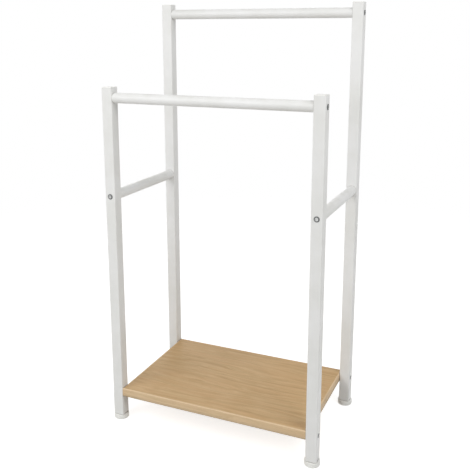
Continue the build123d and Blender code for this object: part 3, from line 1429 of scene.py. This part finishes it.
@dataclass(frozen=True)
class Rail:
    """One rail: its node, and the sides that its two ends point to."""

    node: str
    ends: tuple[Side, Side]

    def end_nodes(self, kind: str) -> list[str]:
        """Nodes of the small parts of one kind at both ends."""
        return [f"{self.node}_{end.word}_{kind}" for end in self.ends]

    def posts(self) -> list[str]:
        """Finds the posts that the two ends meet.

        Returns:
            Their nodes, in the order of the ends.
        """
        whole = self.node.split("_")[0]
        across = self.ends[0] is Side.LEFT
        pairs = [(whole, end.word) if across else (end.word, whole) for end in self.ends]
        return ["_".join(pair) + "_post" for pair in pairs]

    def end_seats(self) -> list[Seat]:
        """The two square-cut ends, facing out of the rail."""
        return [Seat.on_face(self.node, self.node, end.outward) for end in self.ends]


RAILS = [
    Rail("front_towel_rail", (Side.LEFT, Side.RIGHT)),
    Rail("back_towel_rail", (Side.LEFT, Side.RIGHT)),
    Rail("left_side_rail", (Side.FRONT, Side.BACK)),
    Rail("right_side_rail", (Side.FRONT, Side.BACK)),
]


# ------------------------------------------------------------------------------- sub-assemblies
@dataclass
class Posts:
    """The four upright square tubes, drilled for their screws."""

    corner_radius: float = 1.8 * MM
    wall: float = 1.2 * MM
    end_round: float = 0.25 * MM
    rail_hole_radius: float = 3.3 * MM
    shelf_hole_radius: float = 2.4 * MM
    drill_reach: float = 30 * MM
    drill_head: float = 5 * MM
    drill_steps: int = 40
    finish: Finish = field(default_factory=PowderCoat)

    def build(self) -> None:
        """Makes every post."""
        for corner in CORNERS:
            holes = [
                self.drill(corner.towel_rail_seat(), self.rail_hole_radius),
                self.drill(corner.side_rail_seat(), self.rail_hole_radius),
                self.drill(corner.shelf_seat(), self.shelf_hole_radius),
            ]
            mesh = Bench.drilled(self.tube(corner), holes)
            publish(mesh, f"{corner.name}_post_tube", Slot.COAT, self.finish, [corner.post])

    def tube(self, corner: Corner) -> bpy.types.Mesh:
        """Makes a post's tube before it is drilled.

        Args:
            corner: where the post stands.

        Returns:
            The tube, in its place.
        """
        side, _, length = size(corner.post)
        mesh = TubeRun().make(
            self.finish,
            Side=side,
            Corner_Radius=self.corner_radius,
            Wall=self.wall,
            Length=length,
            End_Round=self.end_round,
        )
        mesh.transform(Matrix.Translation(middle(corner.post) - UP * (length / 2)))
        return mesh

    def drill(self, seat: Seat, radius: float) -> bpy.types.Mesh:
        """Makes a round bit that goes through both walls of a post.

        Args:
            seat: where it goes in, on the post's outer face.
            radius: the hole's radius.

        Returns:
            The bit, in its place.
        """
        bit = skin(stack([(radius, -self.drill_reach), (radius, self.drill_head)], self.drill_steps))
        bit.transform(seat.matrix())
        return bit


@dataclass
class Rails:
    """The two towel rails and the two side rails: round tubes cut square between the posts."""

    wall: float = 1.0 * MM
    end_round: float = 0.2 * MM
    corner_steps: int = 20
    finish: Finish = field(default_factory=PowderCoat)

    def build(self) -> None:
        """Makes every rail."""
        for rail in RAILS:
            low, high = rail.end_seats()
            diameter = size(rail.node).z
            mesh = TubeRun().make(
                self.finish,
                Side=diameter,
                Corner_Radius=diameter / 2,
                Corner_Steps=self.corner_steps,
                Wall=self.wall,
                Length=(high.place - low.place).length,
                End_Round=self.end_round,
            )
            mesh.transform(Seat(low.place, -low.outward).matrix())
            publish(mesh, f"{rail.node}_tube", Slot.COAT, self.finish, [rail.node])


@dataclass
class EndPieces:
    """Caps and feet: moulded pieces with ribbed plugs that are pushed into the posts' ends."""

    bore: float = 19.6 * MM
    plug_length: float = 12 * MM
    plug_wall: float = 1.6 * MM
    plug_steps: int = 64
    core_gap: float = 0.9 * MM
    rib_gap: float = 0.1 * MM
    rib_thickness: float = 1.2 * MM
    rib_round: float = 0.24 * MM
    rib_pitch: float = 3.4 * MM
    rib_count: int = 3
    corner_radius: float = 1.8 * MM
    least_corner: float = 0.2 * MM
    cap_edge_round: float = 0.9 * MM
    cap_lower_round: float = 0.12 * MM
    least_cap_side: float = 0.3 * MM
    crown_rise: float = 0.25 * MM
    crown_steps: tuple[float, ...] = (0.8, 0.6, 0.4, 0.2, 0.06)
    foot_bottom_round: float = 2.4 * MM
    foot_top_round: float = 0.8 * MM
    shoulder_height: float = 1.0 * MM
    shoulder_inset: float = 0.7 * MM
    glide_start: float = 0.4
    sole_lip: float = 1.5 * MM
    sole_recess: float = 0.6 * MM
    sole_rings: tuple[float, float, float] = (0.62, 0.55, 0.12)
    overlap: float = 0.3 * MM
    cap_finish: Finish = field(
        default_factory=lambda: MouldedPlastic(title="White cap plastic", scuff_height=0.1 * MM)
    )
    foot_finish: Finish = field(default_factory=lambda: MouldedPlastic(title="White foot plastic"))

    def build(self) -> None:
        """Makes a cap and a foot for every post."""
        for corner in CORNERS:
            low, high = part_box(corner.post)
            top = Seat.on_face(corner.post, corner.post, UP)
            bottom = Seat.on_face(corner.post, corner.post, DOWN)
            cap, foot = f"{corner.name}_cap", f"{corner.name}_foot"
            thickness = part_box(cap)[1][2] - high[2]
            height = low[2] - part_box(foot)[0][2]
            self.end_piece(top, self.cap_body(thickness), cap, Slot.CAP, self.cap_finish)
            self.end_piece(bottom, self.foot_body(height, size(foot).x), foot, Slot.FOOT, self.foot_finish)

    def end_piece(self, seat: Seat, body: bpy.types.Mesh, node: str, slot: Slot, finish: Finish) -> None:
        """Adds the plug and its ribs to a body and publishes the piece.

        Args:
            seat: the post's end, facing out of the post.
            body: the part that shows, with Z outwards.
            node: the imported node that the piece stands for.
            slot: the record's slot for its finish.
            finish: what it looks like.
        """
        mesh = RibbedPlugs().make(
            finish,
            [seat],
            Body=joined(body, self.plug_core()),
            Rib=self.rib(),
            Rib_Count=self.rib_count,
            Rib_Pitch=self.rib_pitch,
            First_Rib=self.rib_thickness * 1.5 - self.plug_length,
        )
        publish(mesh, f"{node}_moulding", slot, finish, [node])

    def plug_core(self) -> bpy.types.Mesh:
        """Makes the square cup below the seat, open towards the inside of the post.

        Returns:
            The cup.
        """
        half = self.bore / 2 - self.core_gap
        outer = polygon_radius(4, half)
        inner = polygon_radius(4, half - self.plug_wall)
        end = -self.plug_length
        profile = [(outer, self.overlap), (outer, end), (inner, end), (inner, -self.plug_wall)]
        return skin(stack(profile, self.plug_steps))

    def rib(self) -> bpy.types.Mesh:
        """Makes one rib of the plug: a square frame with its corners cut off.

        Returns:
            The rib, about the origin.
        """
        half = self.bore / 2 - self.rib_gap
        square = polygon_radius(4, half)
        inside = polygon_radius(4, half - self.core_gap - self.overlap)
        corner_reach = half * math.sqrt(2) - self.core_gap
        high = self.rib_thickness / 2
        crest = high - self.rib_round

        def clipped(angle: float) -> float:
            """Square radius, held back at the corners."""
            lean = abs((angle % (math.pi / 2)) - math.pi / 4)
            return min(square(angle), corner_reach / math.cos(lean))

        def drawn_in(angle: float) -> float:
            """The rib's edge, a little inside its crest."""
            return clipped(angle) - self.rib_round

        profile = [(drawn_in, -high), (clipped, -crest), (clipped, crest), (drawn_in, high)]
        return skin(stack([*profile, (inside, high), (inside, -high)], self.plug_steps), Ends.JOINED)

    @staticmethod
    def half_post() -> float:
        """Half a post's width."""
        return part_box("front_left_post")[1][0] - middle("front_left_post").x

    def cap_body(self, thickness: float) -> bpy.types.Mesh:
        """Makes the square plate with a soft upper edge and a very slightly raised crown.

        Args:
            thickness: from the post's end to the top of the crown.

        Returns:
            The plate.
        """
        half = self.half_post()
        corner, lower = self.corner_radius, self.cap_lower_round
        rim = thickness - self.crown_rise
        rings = [square_ring(half - lower, corner, 0.0), square_ring(half, corner, lower)]
        drop = min(self.cap_edge_round, rim - self.least_cap_side)
        for back, height in quarter((0.0, rim - drop), (self.cap_edge_round, drop), start=0):
            inset = self.cap_edge_round - back
            rings.append(square_ring(half - inset, max(corner - inset, self.least_corner), height))
        for share in self.crown_steps:
            reach = (half - self.cap_edge_round) * share
            turn = max(corner - self.cap_edge_round, reach / 4)
            rings.append(square_ring(reach, turn, rim + self.crown_rise * (1 - share**2)))
        return skin(rings)

    def foot_body(self, height: float, diameter: float) -> bpy.types.Mesh:
        """Makes the round glide with a square shoulder for the post and a shallow ring in its sole.

        Args:
            height: from the post's end to the floor.
            diameter: of the glide.

        Returns:
            The foot without its plug.
        """
        half = self.half_post() - self.shoulder_inset
        corner = self.corner_radius - self.shoulder_inset
        start = self.shoulder_height
        shoulder = skin([square_ring(half, corner, rise) for rise in (0.0, start + self.overlap)])
        radius = diameter / 2
        top, bottom = self.foot_top_round, self.foot_bottom_round
        profile = [(radius * self.glide_start, start)]
        profile += quarter((radius - top, start + top), (top, top), start=-90, steps=5)
        profile += quarter((radius - bottom, height - bottom), (bottom, bottom), start=0, steps=10)
        sole = radius - bottom - self.sole_lip
        inner = sole - self.sole_recess
        floor, boss = height - self.sole_recess, height - self.sole_recess / 3
        groove, rim, hub = (inner * share for share in self.sole_rings)
        profile += [(sole, height), (inner, floor), (groove, floor), (rim, boss), (hub, boss)]
        return joined(skin(stack(profile)), shoulder)


@dataclass
class Screw:
    """A low-head screw; each kind cuts its own recess into the head."""

    diameter: float = 6 * MM
    length: float = 35 * MM
    neck: float = 1.5 * MM
    plain_length: float = 2 * MM
    pitch: float = 1.0 * MM
    thread_depth: float = 0.55 * MM
    rows_per_turn: int = 8
    tip_length: float = 0.8 * MM
    tip_radius: float = 2.2 * MM
    head_rim: float = 0.35 * MM
    edge_round: float = 0.12 * MM
    crown_diameter: float = 6.6 * MM
    dome_steps: int = 12
    seed: int = 3
    finish: Finish = field(default_factory=TurnedMetal)

    def make(self, name: str, nodes: Sequence[str], seats: Sequence[Seat]) -> None:
        """Makes several of the screws as one piece.

        Args:
            name: the piece's name.
            nodes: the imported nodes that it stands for.
            seats: where the heads sit.
        """
        spans = size(nodes[0])
        mesh = SeatedScrews().make(
            self.finish,
            seats,
            Head=self.head(min(spans) / 2, max(spans) - self.length),
            Diameter=self.diameter,
            Length=self.length,
            Neck=self.neck,
            Plain_Length=self.plain_length,
            Pitch=self.pitch,
            Thread_Depth=self.thread_depth,
            Tip_Length=self.tip_length,
            Tip_Share=self.tip_radius / (self.diameter / 2),
            Rows=int(self.length / self.pitch * self.rows_per_turn),
            Spin=WHOLE_TURN,
            Seed=self.seed,
        )
        publish(mesh, name, Slot.SCREW, self.finish, nodes)

    def head(self, radius: float, height: float) -> bpy.types.Mesh:
        """Makes the low head on the seat, with a stub that goes down into the shank's neck.

        Args:
            radius: of the head.
            height: of the head.

        Returns:
            The head.
        """
        crown, soft = self.crown_diameter / 2, self.edge_round
        stub = self.diameter / 2 - soft
        profile = [(stub, -self.neck - soft), (stub, 0.0), (radius - soft, 0.0), (radius, soft)]
        dome = (radius - crown, height - self.head_rim)
        profile += quarter((crown, self.head_rim), dome, start=0, steps=self.dome_steps)
        return skin(stack(self.recessed(profile, height)))

    def recessed(self, profile: Profile, height: float) -> Profile:
        """Goes on from the crown's edge into the recess.

        Args:
            profile: the head up to the crown's edge.
            height: of the head.

        Returns:
            The whole profile.
        """
        raise NotImplementedError


@dataclass
class SocketScrew(Screw):
    """A machine screw with a hexagon socket."""

    socket_width: float = 4.0 * MM
    socket_depth: float = 2.0 * MM
    mouth_share: float = 1.18
    hollow_share: float = 0.3

    def recessed(self, profile: Profile, height: float) -> Profile:
        """Adds the socket, with a chamfer at its mouth and a drilled hollow in its floor.

        Args:
            profile: the head up to the crown's edge.
            height: of the head.

        Returns:
            The whole profile.
        """
        half, soft = self.socket_width / 2, self.edge_round
        floor = height - self.socket_depth
        flats = polygon_radius(6, half)
        mouth = [(half * self.mouth_share, height), (flats, height - soft)]
        bottom = [(flats, floor + soft), (polygon_radius(6, half - soft), floor)]
        return [*profile, *mouth, *bottom, (half * self.hollow_share, floor - 2 * soft)]


@dataclass
class CrossScrew(Screw):
    """A wood screw with a point and a cross recess."""

    diameter: float = 4.2 * MM
    length: float = 40 * MM
    neck: float = 1.2 * MM
    plain_length: float = 8 * MM
    pitch: float = 1.8 * MM
    rows_per_turn: int = 10
    tip_length: float = 4 * MM
    tip_radius: float = 0.084 * MM
    head_rim: float = 0.3 * MM
    edge_round: float = 0.1 * MM
    crown_diameter: float = 4.8 * MM
    dome_steps: int = 10
    seed: int = 11
    finish: Finish = field(
        # Painted shade band on the smaller head's flank.
        default_factory=lambda: TurnedMetal(title="Nickel plate, shelf", dark_range=(2.2 * MM, 3.0 * MM))
    )
    slot_length: float = 3.6 * MM
    slot_width: float = 0.9 * MM
    slot_depth: float = 1.4 * MM
    floor_shares: Range = (0.8, 0.9)

    def recessed(self, profile: Profile, height: float) -> Profile:
        """Puts the cross, which narrows downwards, in place of the crown's edge.

        Args:
            profile: the head up to the crown's edge.
            height: of the head.

        Returns:
            The whole profile.
        """
        reach, half = self.slot_length / 2, self.slot_width / 2
        short, thin = self.floor_shares
        mouth = (cross_radius(reach, half), height)
        floor = (cross_radius(reach * short, half * thin), height - self.slot_depth)
        return [*profile[:-1], mouth, floor]


@dataclass
class RailFixings:
    """Low-head screws through the posts and the threaded bushes that they turn into."""

    screw: Screw = field(default_factory=SocketScrew)
    bush_chamfer: float = 0.6 * MM
    bush_steps: int = 48
    bore_radius: float = 3.05 * MM
    crest_share: float = 0.25
    knurl_count: int = 40
    knurl_gap: int = 3
    knurl_depth: float = 0.25 * MM
    knurl_root: float = -0.1 * MM
    knurl_start: float = 2.0 * MM
    knurl_fade: float = 0.6 * MM
    knurl_start_share: float = 0.2
    bush_seed: int = 5
    bush_finish: Finish = field(
        default_factory=lambda: TurnedMetal(
            title="Zinc plate",
            colour=shade(188, 190, 190),
            # Painted shade: a darker band towards the bush's rim.
            dark_colour=shade(150, 152, 150),
            dark_range=(5 * MM, 9 * MM),
            roughness=(0.32, 0.5),
        )
    )

    def build(self) -> None:
        """Makes the screws and the bushes of every rail."""
        for rail in RAILS:
            nodes = rail.end_nodes("screw")
            ends = zip(nodes, rail.posts(), rail.ends)
            seats = [Seat.on_face(node, post, end.outward) for node, post, end in ends]
            self.screw.make(f"{rail.node}_screws", nodes, seats)
            self.bushes(rail)

    def bushes(self, rail: Rail) -> None:
        """Makes both bushes of one rail, flush with its ends.

        Args:
            rail: the rail.
        """
        nodes = rail.end_nodes("bush")
        length = min(size(nodes[0]))
        radius = max(size(nodes[0])) / 2
        mesh = RidgedParts().make(
            self.bush_finish,
            rail.end_seats(),
            Core=self.bush_core(radius - self.knurl_depth, length),
            Ridge=self.knurl(radius, length),
            Ridge_Count=self.knurl_count,
            Ridge_Radius=radius - self.knurl_depth,
            Spin=0.0,
            Seed=self.bush_seed,
        )
        publish(mesh, f"{rail.node}_bushes", Slot.BUSH, self.bush_finish, nodes)

    def bush_core(self, radius: float, length: float) -> bpy.types.Mesh:
        """Makes a round bush behind the seat, with chamfered ends and a grooved bore.

        Args:
            radius: outside radius, without the knurling.
            length: of the bush.

        Returns:
            The bush.
        """
        chamfer, pitch = self.bush_chamfer, self.screw.pitch
        mouth = self.bore_radius + chamfer / 2
        profile = [(radius - chamfer, 0.0), (radius, -chamfer)]
        profile += [(radius, chamfer - length), (radius - chamfer, -length), (mouth, -length)]
        for turn in range(int(length / pitch) - 1, 0, -1):
            profile += [(self.bore_radius, -(turn + self.crest_share) * pitch)]
            profile += [(self.bore_radius + self.screw.thread_depth, -(turn - self.crest_share) * pitch)]
        return skin(stack([*profile, (mouth, 0.0)], self.bush_steps), Ends.JOINED)

    def knurl(self, radius: float, length: float) -> bpy.types.Mesh:
        """Makes one straight ridge of the knurling, which fades out at both ends.

        Args:
            radius: outside radius of the bush.
            length: of the bush.

        Returns:
            The ridge, at its place on the circle's first point.
        """
        half = WHOLE_TURN * radius / self.knurl_count / self.knurl_gap
        root, start = self.knurl_root, self.knurl_start
        full = start + self.knurl_fade
        faint = self.knurl_start_share
        rings = []
        for height, share in ((-start, faint), (-full, 1.0), (full - length, 1.0), (start - length, faint)):
            crest = root + (self.knurl_depth - root) * share
            section = ((root, -half), (crest, 0.0), (root, half))
            rings.append([Vector((out, across, height)) for out, across in section])
        return skin(rings)


@dataclass
class Shelf:
    """The board: chip core, two oak skins, four oak bands and the four screws that hold it."""

    screw: Screw = field(default_factory=CrossScrew)
    core_finish: Finish = field(default_factory=Particleboard)
    skin_finish: Finish = field(default_factory=Oak)
    long_band: Finish = field(default_factory=lambda: OakBand(title="Light oak band, long"))
    end_band: Finish = field(
        default_factory=lambda: OakBand(
            # Less upper-edge lightening (sanding and painted highlight), more painted shade towards the
            # bottom.
            title="Light oak band, end", turn=math.pi / 2, trim_cover=0.2, worn_cover=0.8
        )
    )
    # Painted shade on the far upper edges of the back and left bands.
    dark_edge: Colour = shade(136, 118, 94)
    dark_edge_cover: float = 0.75

    def build(self) -> None:
        """Dresses the board and makes its screws."""
        finishes = {
            "core": self.core_finish,
            "top_skin": self.skin_finish,
            "bottom_skin": self.skin_finish,
            "front_band": self.long_band,
            "back_band": self.dark_edged(self.long_band, "back"),
            "left_band": self.dark_edged(self.end_band, "left"),
            "right_band": self.end_band,
        }
        for part, finish in finishes.items():
            redress(f"shelf_{part}", finish)
        nodes = [f"{corner.name}_shelf_screw" for corner in CORNERS]
        self.screw.make("shelf_screws", nodes, [corner.shelf_seat() for corner in CORNERS])

    def dark_edged(self, finish: Finish, place: str) -> Finish:
        """The same band under its own name, with painted shade on its upper edge."""
        title = f"Light oak band, {place}"
        return replace(finish, title=title, trim_cover=self.dark_edge_cover, trim_colour=self.dark_edge)


# ------------------------------------------------------------------------------- studio
@dataclass(frozen=True)
class SoftBox:
    """A square lamp with a soft edge to its shadows.

    The share is the part of full light that it gives a face turned straight to it at the aim.
    """

    title: str
    place: Place
    aim: Place
    width: float
    share: float

    def build(self) -> None:
        """Makes the lamp and turns it to its aim."""
        way = Vector(self.aim) - Vector(self.place)
        lamp = bpy.data.lights.new(self.title, "AREA")
        lamp.shape = "SQUARE"
        lamp.size = self.width
        lamp.energy = self.share * math.pi**2 * way.length_squared
        holder = placed(self.title, lamp)
        holder.location = self.place
        holder.rotation_euler = way.to_track_quat("-Z", "Y").to_euler()
        log.info("lamp %s: %.1f W", self.title, lamp.energy)


@dataclass
class Studio:
    """White floor and surround, soft lamps and the camera."""

    sky_light: float = 0.42
    floor_colour: Colour = shade(213, 213, 211)
    floor_mottle: Colour = shade(216, 216, 214)
    mottle_scale: float = 3.0
    floor_glow: float = 0.73
    floor_radius: float = 2.6
    fade_range: Range = (0.9, 2.0)
    lamps: tuple[SoftBox, ...] = (
        SoftBox("key", (-0.75, -1.5, 1.3), (0.0, 0.0, 0.6), 1.2, 0.44),
        SoftBox("fill", (1.3, -0.65, 1.7), (0.0, 0.0, 0.65), 1.0, 0.37),
        SoftBox("back", (-1.6, 2.2, 0.9), (0.0, 0.0, 0.4), 1.8, 0.13),
    )
    eye: Place = (0.5350, -1.2337, 0.7915)
    yaw: float = 23.47
    pitch: float = 12.24
    lens: float = 52.78
    shift_up: float = -0.113
    nearest: float = 0.05

    def build(self) -> None:
        """Sets up everything that isn't the rack."""
        bpy.context.scene.view_settings.view_transform = "Standard"
        self.surround()
        self.floor()
        for lamp in self.lamps:
            lamp.build()
        self.camera()

    def surround(self) -> None:
        """White where it is seen or mirrored, and a plain soft light on the rack."""
        world = bpy.data.worlds.new("surround")
        graph = Graph.emptied(world)
        strength = graph.spread(self.seen(graph), self.sky_light, 1.0)
        light = graph.get("ShaderNodeBackground", {"Color": (1.0, 1.0, 1.0, 1.0), "Strength": strength})
        graph.add("ShaderNodeOutputWorld", {"Surface": light})
        bpy.context.scene.world = world

    @staticmethod
    def seen(graph: Graph) -> Wire:
        """Tells rays from the camera, a mirror or a glass from the light on matt faces.

        Args:
            graph: the graph of a material or world.

        Returns:
            1 for the first kind and 0 for the second.
        """
        ray = graph.outs(graph.add("ShaderNodeLightPath"))
        mirrored = graph.math("MAXIMUM", ray["Is Glossy Ray"], ray["Is Transmission Ray"])
        return graph.math("MAXIMUM", ray["Is Camera Ray"], mirrored)

    def floor(self) -> None:
        """A round floor that keeps the rack's shadow and fades into the surround."""
        build = bmesh.new()
        bmesh.ops.create_circle(build, cap_ends=True, segments=ROUND_STEPS, radius=self.floor_radius)
        mesh = Bench.poured(build, "floor")
        mesh.materials.append(self.floor_material())
        floor = placed("floor", mesh)

    def floor_material(self) -> bpy.types.Material:
        """Mixes matt white paint that glows for the camera alone, clear at the rim and from below.

        Returns:
            The material.
        """
        material = bpy.data.materials.new("floor paint")
        graph = Graph.emptied(material)
        here = graph.here()
        paint = graph.blend(graph.noise(here, self.mottle_scale), self.floor_colour, self.floor_mottle)
        matt = graph.get("ShaderNodeBsdfDiffuse", {"Color": paint})
        glow = graph.get("ShaderNodeEmission", {"Strength": self.seen(graph) * self.floor_glow})
        lit = graph.get("ShaderNodeAddShader", {0: matt, 1: glow})
        fade = graph.between(graph.vector("LENGTH", here, out="Value"), *self.fade_range)
        below = graph.get("ShaderNodeNewGeometry", out="Backfacing")
        clear = graph.get("ShaderNodeBsdfTransparent")
        hidden = graph.math("MAXIMUM", fade, below)
        shown = graph.get("ShaderNodeMixShader", {0: hidden, 1: lit, 2: clear})
        graph.add("ShaderNodeOutputMaterial", {"Surface": shown})
        return material

    def camera(self) -> None:
        """The camera, level across, looking a little down."""
        lens = bpy.data.cameras.new("camera")
        lens.lens = self.lens
        lens.shift_y = self.shift_up
        lens.clip_start = self.nearest
        holder = placed("camera", lens)
        holder.location = self.eye
        holder.rotation_euler = (math.radians(90 - self.pitch), 0.0, math.radians(self.yaw))
        bpy.context.scene.camera = holder
        log.info("camera: %.1f mm lens at %s", self.lens, self.eye)


# ------------------------------------------------------------------------------- main
def main() -> None:
    """Builds the rack's pieces in order, then the studio."""
    logging.basicConfig(level=logging.INFO, format="%(name)s: %(message)s")
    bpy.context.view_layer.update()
    for assembly in (Posts(), Rails(), EndPieces(), RailFixings(), Shelf()):
        log.info("building %s", type(assembly).__name__)
        assembly.build()
    Studio().build()


if __name__ == "__main__":
    main()
